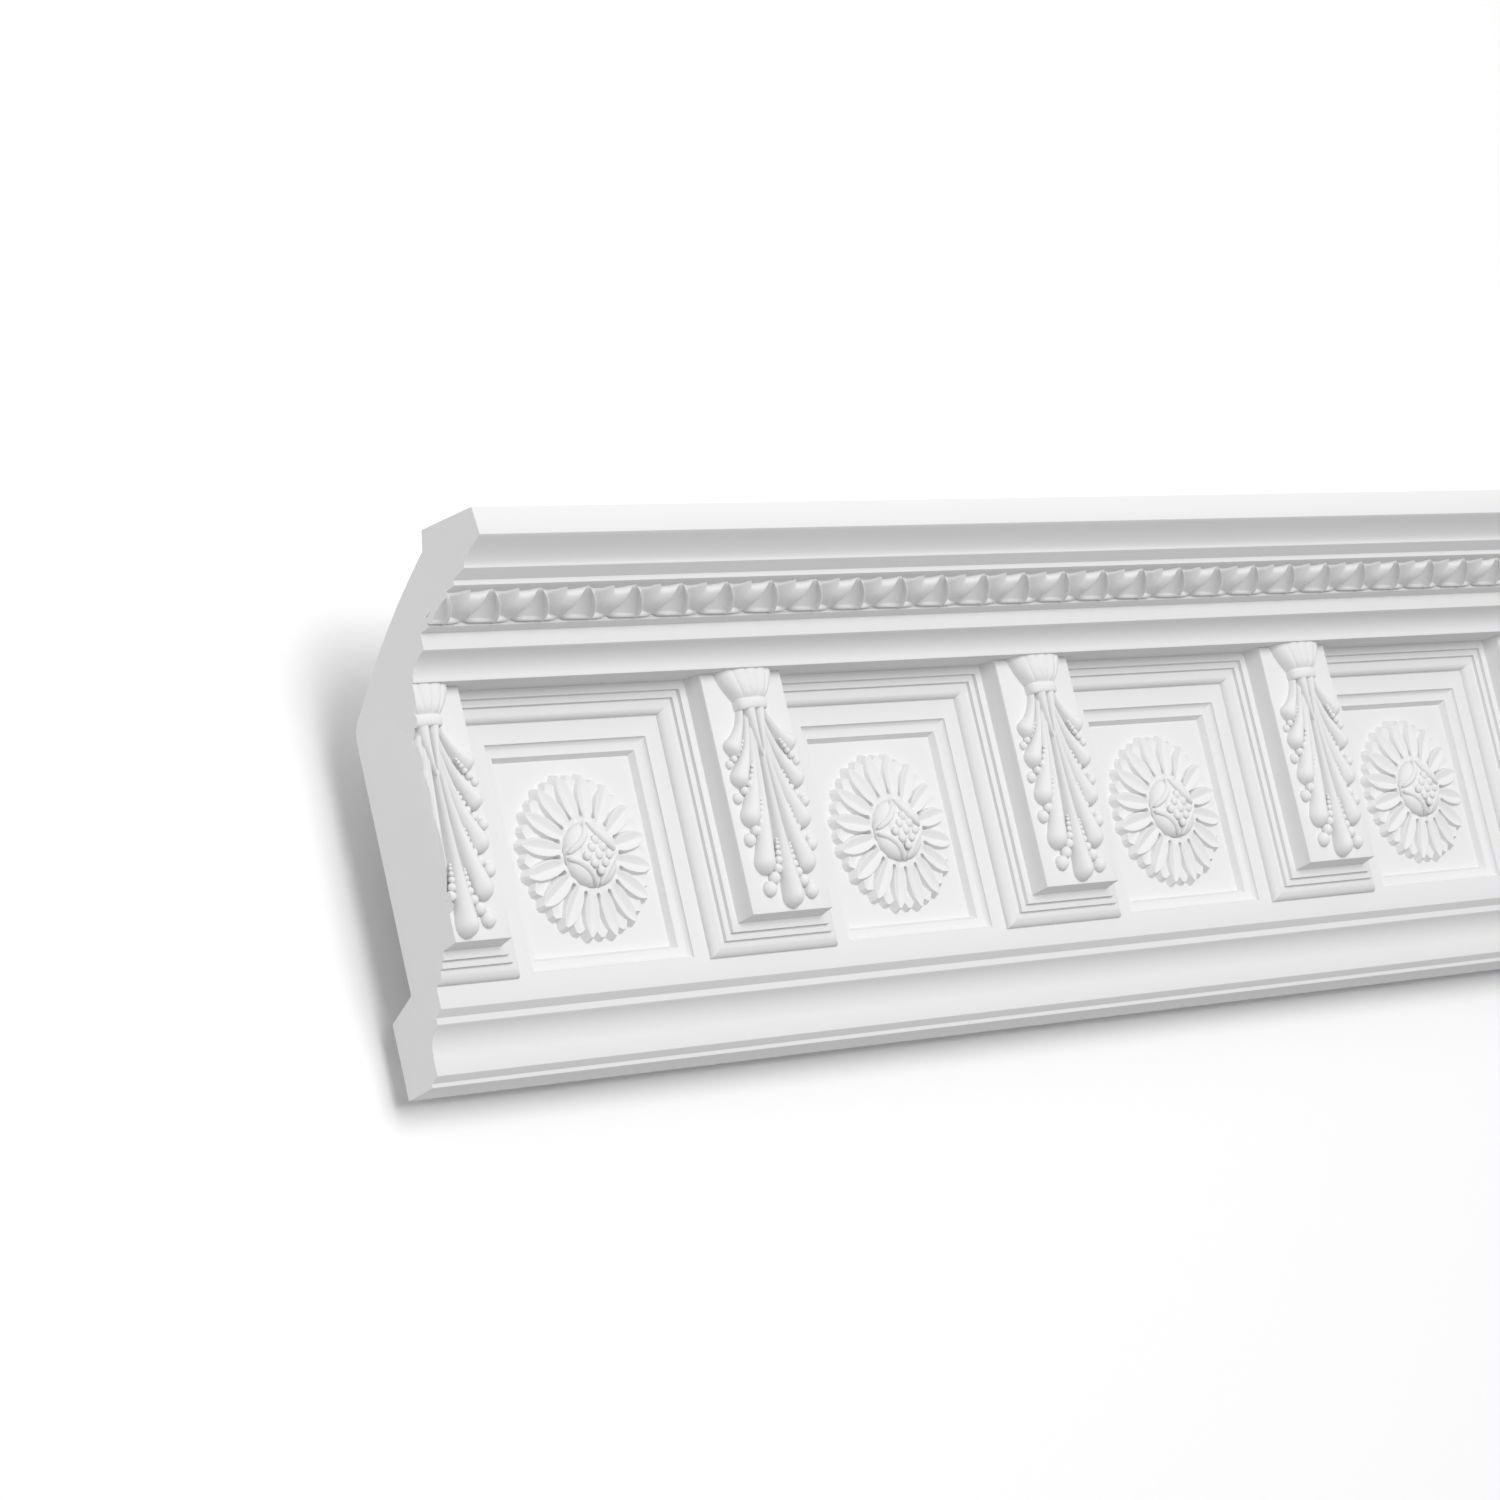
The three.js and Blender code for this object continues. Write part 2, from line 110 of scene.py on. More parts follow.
FACE_FOOT = SOFFIT + MODILLION_HEIGHT
FIELD_END = FACE_FOOT + MODILLION_DRAFT + FRAME_WIDTH + FIELD_FOOT
FOOT_HEIGHT = FIELD_BROW[1] + FOOT_FILLET + FOOT_COVE[1] + FOOT_FLAT + FOOT_STEP[1]
HEIGHT = FIELD_END + FOOT_HEIGHT + FOOT_LIP + FOOT_SLOPE
COFFER_HALF = MODULE / 2 - MODILLION_WIDTH / 2 - MODILLION_DRAFT - FRAME_WIDTH - COFFER_MARGIN
COFFER_TOP = SOFFIT + FRAME_WIDTH + COFFER_MARGIN
COFFER_END = FIELD_END - COFFER_FOOT
COFFER_DEPTH = COFFER_COVE[1] + COFFER_RISER[1]
COFFER_FLOOR = FIELD_OUT - COFFER_DEPTH
COFFER_INSET = COFFER_COVE[0] + COFFER_RISER[0]

ROOT = 1.6  # how far a carved piece reaches into what carries it
CURVE_STEPS = 12
ARRIS = 0.2  # soft edge that the casting has everywhere
OUTLINE_CORNER = math.radians(24)  # turns sharper than this are softened in the outline
BLOCK_CORNER = math.radians(30)  # and on the blocks
SHADING_CORNER = math.radians(38)  # angle up to which the faces are shaded as one


# Small tools

def clamp(value, low=0.0, high=1.0):
    return max(low, min(high, value))


def ease(value):
    """0 to 1 with a soft start and end."""
    value = clamp(value)
    return value * value * (3 - 2 * value)


def reading(place, marks):
    """Value at a place between marks, each a place and its value."""
    for (start, low), (end, high) in zip(marks, marks[1:]):
        if place <= end:
            return low + (high - low) * clamp((place - start) / (end - start))
    return marks[-1][1]


def body(bm, name):
    """The mesh as an object, closed, with its faces turned outwards."""
    bmesh.ops.remove_doubles(bm, verts=bm.verts, dist=1e-4)
    open_edges = [edge for edge in bm.edges if edge.is_boundary]
    if open_edges:
        bmesh.ops.holes_fill(bm, edges=open_edges, sides=0)
    bmesh.ops.recalc_face_normals(bm, faces=bm.faces)
    mesh = bpy.data.meshes.new(name)
    bm.to_mesh(mesh)
    bm.free()
    return bpy.data.objects.new(name, mesh)


def placed(master, places):
    """Copies of a body along X, one at each place."""
    copies = []
    for place in places:
        copy = bpy.data.objects.new(master.name, master.data)
        copy.location.x = place
        copies.append(copy)
    return copies


def carved(first, others, operation):
    """A new body: the first one joined with the others, cut by them, or kept only inside them."""
    bench = bpy.data.collections.new(first.name + "_bench")
    bpy.context.scene.collection.children.link(bench)
    bpy.context.scene.collection.objects.link(first)
    for other in others:
        bench.objects.link(other)
    step = first.modifiers.new(operation.lower(), "BOOLEAN")
    step.operation = operation
    step.solver = "MANIFOLD"
    step.operand_type = "COLLECTION"
    step.collection = bench
    shaped = first.evaluated_get(bpy.context.evaluated_depsgraph_get())
    mesh = bpy.data.meshes.new_from_object(shaped)
    name = first.name
    for used in [first, *others]:
        bpy.data.objects.remove(used)
    bpy.data.collections.remove(bench)
    return bpy.data.objects.new(name, mesh)


def block(name, rings):
    """Body through rectangles from the wall outwards, each left, right, top, foot and distance out."""
    bm = bmesh.new()
    made = bmesh.ops.create_cube(bm, size=1)
    front = next(face for face in bm.faces if face.calc_center_median().y > 0.4)

    def corner(spot, ring):
        left, right, top, foot, out = ring
        return Vector((right if spot.x > 0 else left, out, foot if spot.z > 0 else top))

    side = {vert: vert.co.copy() for vert in made["verts"]}
    for vert, spot in side.items():
        vert.co = corner(spot, rings[0 if spot.y < 0 else 1])
    for ring in rings[2:]:
        old = [(vert.co.copy(), side[vert]) for vert in front.verts]
        front = bmesh.ops.extrude_discrete_faces(bm, faces=[front])["faces"][0]
        for vert in front.verts:
            spot = min(old, key=lambda pair: (pair[0] - vert.co).length)[1]
            side[vert] = spot
            vert.co = corner(spot, ring)
    return bm


def sheet(name, along, across, surface, foot):
    """Body whose front is a surface over stations along and across, and whose back is under its edge."""
    bm = bmesh.new()
    bmesh.ops.create_grid(bm, x_segments=len(along) - 1, y_segments=len(across) - 1, size=0.5)
    front = list(bm.verts)
    rim = [edge for edge in bm.edges if edge.is_boundary]
    made = bmesh.ops.extrude_edge_only(bm, edges=rim)["geom"]
    under = [item for item in made if isinstance(item, bmesh.types.BMVert)]
    for verts, place in ((front, surface), (under, foot)):
        for vert in verts:
            column = round((vert.co.x + 0.5) * (len(along) - 1))
            row = round((vert.co.y + 0.5) * (len(across) - 1))
            vert.co = place(along[column], across[row])
    return body(bm, name)


# Plain run

class Section:
    """Outline drawn member by member, as distance out from the wall and drop from the ceiling."""

    def __init__(self, out, drop):
        self.out = out
        self.drop = drop
        self.points = [(out, drop)]

    def go(self, inward, down):
        self.out -= inward
        self.drop += down
        self.points.append((self.out, self.drop))

    def curve(self, bend, end):
        start = Vector((self.out, self.drop))
        for step in range(1, CURVE_STEPS + 1):
            share = step / CURVE_STEPS
            first = start.lerp(Vector(bend), share)
            self.points.append(tuple(first.lerp(Vector(bend).lerp(Vector(end), share), share)))
        self.out, self.drop = end

    def cove(self, depth, height, fullness):
        end = (self.out - depth, self.drop + height)
        self.curve((end[0], self.drop + height * (1 - fullness)), end)


def plain_run():
    """Section of the moulding drawn along its length, with every arris softened."""
    line = Section(CEILING_OUT, 0)
    line.go(-FASCIA[0], FASCIA[1])
    line.cove(*FASCIA_COVE)
    line.go(*GROOVE_BROW)
    line.go(0, GROOVE_FILLET)
    line.go(*GROOVE)
    line.go(RIBBON_BED[0], RIBBON_BED[1] - RIBBON_SILL)
    line.go(0, RIBBON_SILL + RIBBON_FILLET)
    line.go(*LEDGE)
    line.go(0, FLAT_BAND)
    line.cove(*CROWN_COVE)
    line.go(SOFFIT_DEPTH, 0)
    line.go(0, FRAME_INNER[0])
    line.go(FRAME_INNER[1], 0)
    line.go(0, FRAME_OUTER[0])
    line.go(FRAME_OUTER[1], 0)
    foot = line.drop + FRAME_ROUND[0]
    line.curve((line.out, foot), (FIELD_OUT, foot))
    line.go(0, FIELD_END - line.drop)
    line.go(*FIELD_BROW)
    line.go(0, FOOT_FILLET)
    line.cove(*FOOT_COVE)
    line.go(0, FOOT_FLAT)
    line.go(*FOOT_STEP)
    line.go(0, FOOT_LIP)
    line.go(line.out, FOOT_SLOPE)
    line.go(0, -WALL_STRIP)
    line.go(-BACK_GAP, -WALL_SHOULDER)
    line.go(0, BACK_BEND_DROP + BACK_BEND_ROUND - line.drop)
    bend = Vector((BACK_GAP, BACK_BEND_DROP))
    top = Vector((CEILING_OUT - CEILING_STRIP - CEILING_SHOULDER[0], CEILING_SHOULDER[1]))
    lean = (top - bend).normalized()
    start = bend + lean * BACK_BEND_ROUND
    line.curve(bend, start)
    swell = start.lerp(top, 0.5) + Vector((lean.y, -lean.x)) * 2 * BACK_BULGE
    line.curve(swell, top)
    line.points.append((CEILING_OUT - CEILING_STRIP, 0))
    bm = bmesh.new()
    verts = [bm.verts.new((0, out, drop)) for out, drop in line.points]
    bm.faces.new(verts)
    sharp = [vert for vert in verts if turn_at(vert) > OUTLINE_CORNER]
    bmesh.ops.bevel(bm, geom=sharp, offset=ARRIS, offset_type="OFFSET", segments=2, profile=0.5,
                    affect="VERTICES", clamp_overlap=True, material=-1)
    made = bmesh.ops.extrude_face_region(bm, geom=bm.faces[:])["geom"]
    for item in made:
        if isinstance(item, bmesh.types.BMVert):
            item.co.x = LENGTH
    return body(bm, "cornice_moulding")


def turn_at(vert):
    """How sharply the outline turns at a corner."""
    one, two = [edge.other_vert(vert).co - vert.co for edge in vert.link_edges]
    return math.pi - one.angle(two)


# Modillions and coffers

def soften(bm):
    edges = [edge for edge in bm.edges if edge.is_manifold and edge.calc_face_angle() > BLOCK_CORNER]
    bmesh.ops.bevel(bm, geom=edges, offset=ARRIS, offset_type="OFFSET", segments=2, profile=0.5,
                    affect="EDGES", clamp_overlap=True, material=-1)


def modillion():
    """Flat block on its stepped frame, about X 0, its top end rolled back into the soffit."""
    half = MODILLION_WIDTH / 2 + MODILLION_DRAFT
    foot = FACE_FOOT + MODILLION_DRAFT
    inner = FRAME_INNER[0]
    outer = inner + FRAME_OUTER[0]

    def level(out, spread, rolled=0.0):
        return (-half - spread, half + spread, SOFFIT - ROOT + rolled, foot + spread, out)

    rings = [level(FIELD_OUT - ROOT, FRAME_WIDTH)]
    for step in range(CURVE_STEPS + 1):
        turn = step / CURVE_STEPS * math.pi / 2
        spread = outer + FRAME_ROUND[0] * math.cos(turn)
        rings.append(level(FIELD_OUT + FRAME_ROUND[1] * math.sin(turn), spread))
    rings.append(level(FRAME_OUT - FRAME_INNER[1], outer))
    rings.append(level(FRAME_OUT - FRAME_INNER[1], inner))
    rings.append(level(FRAME_OUT, inner))
    rings.append(level(FRAME_OUT, 0))
    rolls = 5
    for step in range(rolls + 1):
        turn = step / rolls * math.pi / 2
        out = FACE_OUT - MODILLION_TOP_ROUND * (1 - math.sin(turn))
        rolled = (ROOT + MODILLION_TOP_ROUND) * (1 - math.cos(turn))
        share = (out - FRAME_OUT) / MODILLION_RISE
        rings.append(level(out, -MODILLION_DRAFT * share, rolled))
    bm = block("modillion", rings)
    soften(bm)
    return body(bm, "modillion")


def coffer():
    """Hollow between two modillions, about X 0: a coved edge and a steep riser down to its floor."""
    def level(out, inset):
        return (inset - COFFER_HALF, COFFER_HALF - inset, COFFER_TOP + inset, COFFER_END - inset, out)

    rings = [level(COFFER_FLOOR, COFFER_INSET)]
    for step in range(CURVE_STEPS + 1):
        turn = step / CURVE_STEPS * math.pi / 2
        inset = COFFER_COVE[0] * (1 - math.sin(turn))
        rings.append(level(FIELD_OUT - COFFER_COVE[1] * math.cos(turn), inset))
    rings.append(level(FIELD_OUT + ROOT, 0))
    return body(block("coffer", rings), "coffer")


# Rosette

PETALS = 16
SECTOR = 2 * math.pi / PETALS
ROSETTE_MIDDLE = (COFFER_TOP + COFFER_END) / 2 + 1
TIP = 38.0  # reach of a front petal's top edge
SLOT_HOLE = (18.45, 0.95)  # middle and radius of the rounded end of the slot between two petals
SLOT_HALF = 0.45
BUD_RADIUS = 15.6
BUD_WAIST = 5.4  # height at which the bud is widest
BUD_CROWN = 4.6  # rise of its dome over the waist
SEED_PITCH = 5.0
SEED_RADIUS = 2.3
SEED_SHIFT = (0.8, 1.2)  # the seeds sit a little right of and below the bud's middle
SEED_LIFT = 11.0
DISC_RADIUS = 33  # disc under the petals
DISC_RISE = 1
BACK_TIP = 37.4  # reach of a back petal
# Outlines of the petals: each a distance from the rosette's middle, and a size there
PETAL_HALVES = [
    (20, 3.9), (24, 4.25), (28, 4.4), (31, 4.2), (33, 3.7), (34.5, 3.0), (36, 2.1), (37.2, 1.2), (TIP, 0.5),
]
PETAL_RIMS = [
    (13.6, 2.4), (14.2, 4.3), (15, 5.4), (16, 6.0), (17.2, 6.2), (20, 6.0), (28, 5.5), (34, 4.9), (TIP, 4.2),
]
PETAL_DISH = [(14, 0.3), (15.5, 1.0), (17, 1.2), (20, 1.3), (24, 1.5), (31, 1.6), (35, 0.9), (TIP, 0)]
PETAL_DRAFT = [(17, 0.1), (19, 0.3), (22, 0.9), (28, 1.5), (33, 1.9), (TIP, 1.9)]
BACK_TOPS = [(19, 1.6), (22, 2.7), (28, 3.5), (33, 3.6), (BACK_TIP, 3.3)]
BACK_HALVES = [(19, 2.5), (25, 4.0), (33, 4.2), (34.6, 3.5), (36, 2.3), (BACK_TIP, 1.0)]
BACK_DRAFT = 2.1
TIP_SLOPE = -4  # slope of the outline at the tips, across over along
NEAR = 0.3  # step over which a slope is taken
HOLLOW = [(0, 1), (0.3, 0.7), (0.55, 0.38), (0.75, 0.08), (0.85, 0), (0.93, 0.06), (1, 0.4)]  # across a petal


def on_floor(angle, reach, side, lift):
    """Point over the coffer's floor, from the rosette's middle: along a petal's axis, and to its side."""
    x = reach * math.cos(angle) - side * math.sin(angle)
    drop = reach * math.sin(angle) + side * math.cos(angle)
    return Vector((x, COFFER_FLOOR + lift, ROSETTE_MIDDLE + drop))


def petal_half(reach):
    """Half width of a front petal at a distance from the middle."""
    middle, hole = SLOT_HOLE
    if reach < middle:
        slot = math.sqrt(clamp(hole ** 2 - (middle - reach) ** 2, 0, 9))
    else:
        slot = hole + (SLOT_HALF - hole) * ease((reach - middle) / 3)
    overlap = 0.12 if reach < middle - hole else 0
    return min(reach * math.tan(SECTOR / 2) - slot + overlap, reading(reach, PETAL_HALVES))


def drafted(angle, reach, half, side, slope, draft):
    """Foot of a petal's wall: its outline moved outwards by the draft, at right angles to it."""
    outward = Vector((-slope, 1)).normalized()
    return on_floor(angle, reach + draft * outward.x, side * (half + draft * outward.y), -ROOT)


def front_petal(number):
    """Pointed petal with rounded rims and a hollow face with a crease along its middle."""
    angle = (number + 0.5) * SECTOR

    def surface(reach, side):
        share = reading(abs(side), HOLLOW)
        if reach < SLOT_HOLE[0] - SLOT_HOLE[1]:
            share = 0.85 * (1 - abs(side)) ** 1.3
        lift = reading(reach, PETAL_RIMS) - reading(reach, PETAL_DISH) * share
        return on_floor(angle, reach, side * petal_half(reach), lift)

    def foot(reach, side):
        slope = (petal_half(reach) - petal_half(reach - NEAR)) / NEAR if reach > 22 else 0
        if reach == TIP:
            slope = TIP_SLOPE
        return drafted(angle, reach, petal_half(reach), side, slope, reading(reach, PETAL_DRAFT) * 1.35)

    by_bud = [13.6, 14.0, 14.5, 15.2, 16, 17, 17.5, 17.56, 17.8, 18.4, 19.3]
    along = [*by_bud, 21, 24, 27, 30, 33, 34.5, 36, 37.2, TIP]
    across = [-1, -0.92, -0.82, -0.66, -0.35, 0, 0.35, 0.66, 0.82, 0.92, 1]
    return sheet("front_petal", along, across, surface, foot)


def back_petal(number):
    """Flat tip of a petal behind, in the gap between two front petals."""
    angle = number * SECTOR

    def surface(reach, side):
        lift = reading(reach, BACK_TOPS) - 0.5 * (1 - abs(side)) * clamp((BACK_TIP - reach) / 3)
        return on_floor(angle, reach, side * reading(reach, BACK_HALVES), lift)

    def foot(reach, side):
        half = reading(reach, BACK_HALVES)
        slope = TIP_SLOPE if reach == BACK_TIP else (half - reading(reach - NEAR, BACK_HALVES)) / NEAR
        return drafted(angle, reach, half, side, slope, BACK_DRAFT)

    along = [19, 22, 25, 28, 31, 33, 34, 35, 36, BACK_TIP]
    return sheet("back_petal", along, [-1, -0.7, -0.35, 0, 0.35, 0.7, 1], surface, foot)


def dome_lift(reach):
    """Height of the bud's dome over the floor."""
    return BUD_WAIST + BUD_CROWN * math.sqrt(clamp(1 - (reach / BUD_RADIUS) ** 2))


def ball(name, middle, sizes, turn=0.0, wide=24, high=14):
    """Ball on the coffer's floor, stretched along, across and outwards, and turned round."""
    bm = bmesh.new()
    along, across, out = sizes
    bmesh.ops.create_uvsphere(bm, u_segments=wide, v_segments=high, radius=1)
    for vert in bm.verts:
        x, y = vert.co.x * along, vert.co.y * across
        x, y = x * math.cos(turn) - y * math.sin(turn), x * math.sin(turn) + y * math.cos(turn)
        spot = Vector(middle) + Vector((x, y, vert.co.z * out))
        vert.co = Vector((spot.x, COFFER_FLOOR + spot.z, ROSETTE_MIDDLE + spot.y))
    return body(bm, name)


def lip(quarter):
    """Curled inner edge of a bud's leaf, a bent roll with tapered ends."""
    turn = quarter * math.pi / 2
    bm = bmesh.new()
    bmesh.ops.create_uvsphere(bm, u_segments=12, v_segments=20, radius=1)
    start, bend, end = Vector((15.0, 1.0)), Vector((4.9, 4.9)), Vector((1.0, 15.0))
    for vert in bm.verts:
        share = clamp(0.5 - math.asin(clamp(vert.co.z, -1, 1)) / math.pi)
        first, second = start.lerp(bend, share), bend.lerp(end, share)
        middle, ahead = first.lerp(second, share), (second - first).normalized()
        ring = math.hypot(vert.co.x, vert.co.y)
        around = math.atan2(vert.co.y, vert.co.x)
        thick = 1.55 * math.sqrt(clamp(math.sin(math.pi * share))) + 0.35 if ring > 1e-3 else 0.1
        side, rise = thick * math.cos(around), thick * 1.15 * math.sin(around)
        x, y = middle.x - ahead.y * side, middle.y + ahead.x * side
        lift = dome_lift(middle.length) + 0.35 + rise
        vert.co = on_floor(turn, x, y, lift)
    return body(bm, "lip")


def bud():
    """Domed bud of four leaves, each a smooth pad behind a curled lip, round a crown for the seeds."""
    pieces = [
        ball("bud", (0, 0, BUD_WAIST), (BUD_RADIUS - 0.5, BUD_RADIUS - 0.5, BUD_CROWN), wide=40, high=16),
        ball("bud_root", (0, 0, 2.5), (BUD_RADIUS - 1.2, BUD_RADIUS - 1.2, 6), wide=32, high=8),
        ball("crown", (0, 0, 8.6), (8.6, 8.6, 2.6), wide=24, high=10),
    ]
    for quarter in range(4):
        turn = (quarter + 0.5) * math.pi / 2
        middle = (10.4 * math.cos(turn), 10.4 * math.sin(turn), BUD_WAIST - 0.2)
        pieces.append(ball("leaf", middle, (5.3, 8.6, 4.9), turn, wide=24, high=16))
        pieces.append(lip(quarter))
    return pieces


def seed(column, row):
    """Small domed seed of the diamond in the middle of the bud."""
    step = SEED_PITCH / math.sqrt(2)
    x, y = (column - row) * step * 0.92, (column + row) * step
    lift = SEED_LIFT - 0.01 * (x * x + y * y)
    place = (x + SEED_SHIFT[0], y + SEED_SHIFT[1], lift)
    return ball("seed", place, (SEED_RADIUS, SEED_RADIUS, SEED_RADIUS * 0.65), wide=12, high=8)


def rosette():
    """Front and back petals, the bud and its seeds on a thin disc."""
    bm = bmesh.new()
    middle = Matrix.Translation((0, COFFER_FLOOR + (DISC_RISE - ROOT) / 2, ROSETTE_MIDDLE))
    bmesh.ops.create_cone(
        bm, cap_ends=True, segments=64, radius1=DISC_RADIUS, radius2=DISC_RADIUS, depth=ROOT + DISC_RISE,
        matrix=middle @ Matrix.Rotation(math.pi / 2, 4, "X"),
    )
    base = body(bm, "rosette")
    pieces = bud()
    for number in range(PETALS):
        pieces += [front_petal(number), back_petal(number)]
    for column in (-1, 0, 1):
        pieces += [seed(column, row) for row in (-1, 0, 1)]
    return carved(base, pieces, "UNION")


# Husk drop

HUSK_DRAWN_HEIGHT = 112.3  # the sizes below are for a drop of this height
HUSK_CLEARANCE = 1.7
HUSK_SCALE = (MODILLION_HEIGHT - HUSK_CLEARANCE) / HUSK_DRAWN_HEIGHT
CAP_HEIGHT = 13.6
CAP_FOLDS = 5
RING_FOOT = 18.9
LOBE_COUNT = 4
LOBE_TOP = (7.0, 17.5)  # where the first lobe leaves the ring: from the middle, and below the soffit
LOBE_TOP_NARROWING = 0.65
LOBE_TOP_LOWERING = 0.95
LOBE_BENDS = ((0, 0), (0.19, 0.53), (0.54, 0.73), (1, 1))  # shares of the way out and of the way down
# Ends of the lobes by side, as the carving reaches further out on the right
LOBE_REACH = {-1: 19.9, 1: 22.9}
LOBE_PULL = {-1: 0.63, 1: 0.85}
LOBE_DROP = {-1: 38.7, 1: 37.0}
LOBE_GAP = {-1: 15.5, 1: 18.6}
LOBE_WIDENING = {-1: 3.7, 1: 1.4}
LOBE_RADIUS = 4.4
LOBE_SWELLING = 0.45
LOBE_RISE = 5.4
LOBE_RISING = 0.37
# Strings of beads beside the lobes, measured from each lobe's end
STRING_BEADS = 6
# Shares of each lobe's reach at which its string starts and bends, and how far past its end the string ends
STRING_STARTS = (0.56, 0.45, 0.46, 0.26)
STRING_BENDS = (0.71, 0.55, 0.52, 0.3)
STRING_ENDS = (0.4, 0.6, 0.9, -1.6)
STRING_START_ABOVE = 5.0
STRING_START_CLIMB = 3.6
STRING_BEND_ABOVE = 0.2
STRING_BEND_CLIMB = 1.0
STRING_END_BELOW = 4.9
STRING_END_FALL = 0.6
STRING_LEAN = {-1: 0.0, 1: 0.05}
STRING_SHIFT = {-1: 0.0, 1: 1.7}  # the right-hand strings hang lower
SMALL_BEAD = 0.83
LARGE_BEAD = 2.25
BEAD_GROWTH = 0.53
FINE_BALL = 2.5  # beads from this radius up have the finer ball
BEAD_SEAT = 3.1  # how high the smallest beads sit between the lobes
ROUND_SHARE = 0.62  # share of a teardrop's rings that lie before its round end
STEM_HALF = 1.4
STEM_RISE = 3.6
STRAP_ROUTE = ((3.0, 17.5), (2.8, 24), (1.9, 32), (0.3, 42))
STRAP_HALF = (3.1, 0.3)  # at the ring and at its end
STRAP_RISE = (6.7, 4.3)
STRAP_END_ROUND = 0.03
PENDANT_ROUTE = ((0, 34), (0, 60), (0, 85), (0, 112.9))
PENDANT_RADIUS = 5.3
PENDANT_RISE = 8.0
PENDANT_STEM_RISE = 4.4


def on_face(across, drop, lift):
    """Point over the modillion's face, from its middle line and the soffit."""
    return Vector((across * HUSK_SCALE, FACE_OUT + lift * HUSK_SCALE, SOFFIT + drop * HUSK_SCALE))


def pod(name, path, half_at, rise_at, rings=20, sides=20, flat=1.0, spaced=None):
    """Rounded body laid on the face along a path; half width and rise are given over its share."""
    bm = bmesh.new()
    bmesh.ops.create_uvsphere(bm, u_segments=sides, v_segments=rings, radius=1)
    count = len(path) - 1
    for vert in bm.verts:
        share = clamp(0.5 - math.asin(clamp(vert.co.z, -1, 1)) / math.pi)
        share = spaced(share) if spaced else share
        spot = min(int(share * count), count - 1)
        middle = path[spot].lerp(path[spot + 1], share * count - spot)
        ahead = (path[min(spot + 1, count)] - path[max(spot - 1, 0)]).normalized()
        around = math.atan2(vert.co.y, vert.co.x)
        half, rise = half_at(share), rise_at(share)
        across = half * math.cos(around)
        lift = rise * abs(math.sin(around)) ** flat if math.sin(around) > 0 else ROOT * math.sin(around)
        vert.co = on_face(middle.x - ahead.y * across, middle.y + ahead.x * across, lift)
    return body(bm, name)


def even_path(points, count=40):
    """Points at equal steps along a smooth curve through start, two bends and end."""
    start, first, second, end = [Vector((x, y, 0)) for x, y in points]
    dense = interpolate_bezier(start, first, second, end, 200)
    lengths = [0.0]
    for before, after in zip(dense, dense[1:]):
        lengths.append(lengths[-1] + (after - before).length)
    path = []
    for step in range(count + 1):
        target = lengths[-1] * step / count
        spot = max(index for index, length in enumerate(lengths) if length <= target + 1e-9)
        path.append(dense[spot].to_2d())
    return path, lengths[-1]


def teardrop(name, points, radius, rise, stem_rise, rings=20):
    """Slim stem that swells late into a bulb with a round end."""
    path, length = even_path(points)
    bulb = 1 - radius * 1.15 / length

    def spaced(share):
        if share < ROUND_SHARE:
            return bulb * share / ROUND_SHARE
        return bulb + (1 - bulb) * math.sin((share - ROUND_SHARE) / (1 - ROUND_SHARE) * math.pi / 2)

    def swelling(share, slim, full):
        closing = math.sqrt(clamp(1 - clamp((share - bulb) / (1 - bulb)) ** 2))
        return (slim + (full - slim) * (share / bulb) ** 2.3) * closing * math.sqrt(clamp(share / 0.04))

    return pod(name, path, lambda share: swelling(share, STEM_HALF, radius),
               lambda share: swelling(share, stem_rise, rise), rings=rings, sides=14, spaced=spaced)


def cap():
    """Gathered cap: folds that flare up to the soffit."""
    across = [step / 60 for step in range(61)]
    along = [-1, 0.5, 2, 4, 6, 8, 9.6, 11, 12, 12.8, 13.4, 14.0]
    halves = [(-1, 17.6), (2, 17.2), (4.5, 16.3), (7.1, 14.9), (10, 12.8), (12, 11.2), (14, 9.6)]
    rises = [(-1, 8.0), (2, 8.1), (6, 8.2), (9, 8.1), (11.3, 7.7), (13, 6.5), (14, 4.8)]

    def surface(drop, share):
        half, rise = reading(drop, halves), reading(drop, rises)
        spread = 2 * share - 1
        fold = abs(math.sin(math.pi * CAP_FOLDS * share)) ** 0.5
        deep = 0.88 + 0.12 * fold
        arch = (1 - abs(spread) ** 3) ** 0.5
        return on_face(half * spread, drop, rise * arch * deep)

    def foot(drop, share):
        return on_face(reading(drop, halves) * (2 * share - 1), drop, -ROOT)

    return sheet("cap", along, across, surface, foot)


def ring():
    """Rounded band under the cap."""
    across = [step / 20 for step in range(21)]
    along = [0, 0.04, 0.12, 0.25, 0.5, 0.75, 0.88, 0.96, 1]

    def surface(share, turn):
        angle = math.pi * (1 - turn)
        rounding = math.sqrt(clamp(1 - abs(2 * share - 1) ** 3))
        half = 8.1 + 1.3 * rounding
        rise = 5.7 + 1.6 * rounding
        drop = CAP_HEIGHT - 0.4 + (RING_FOOT - CAP_HEIGHT + 0.4) * share
        return on_face(half * math.cos(angle), drop, rise * math.sin(angle) ** 0.5)

    def foot(share, turn):
        top = surface(share, turn)
        return Vector((top.x, FACE_OUT - ROOT, top.z))

    return sheet("ring", along, across, surface, foot)


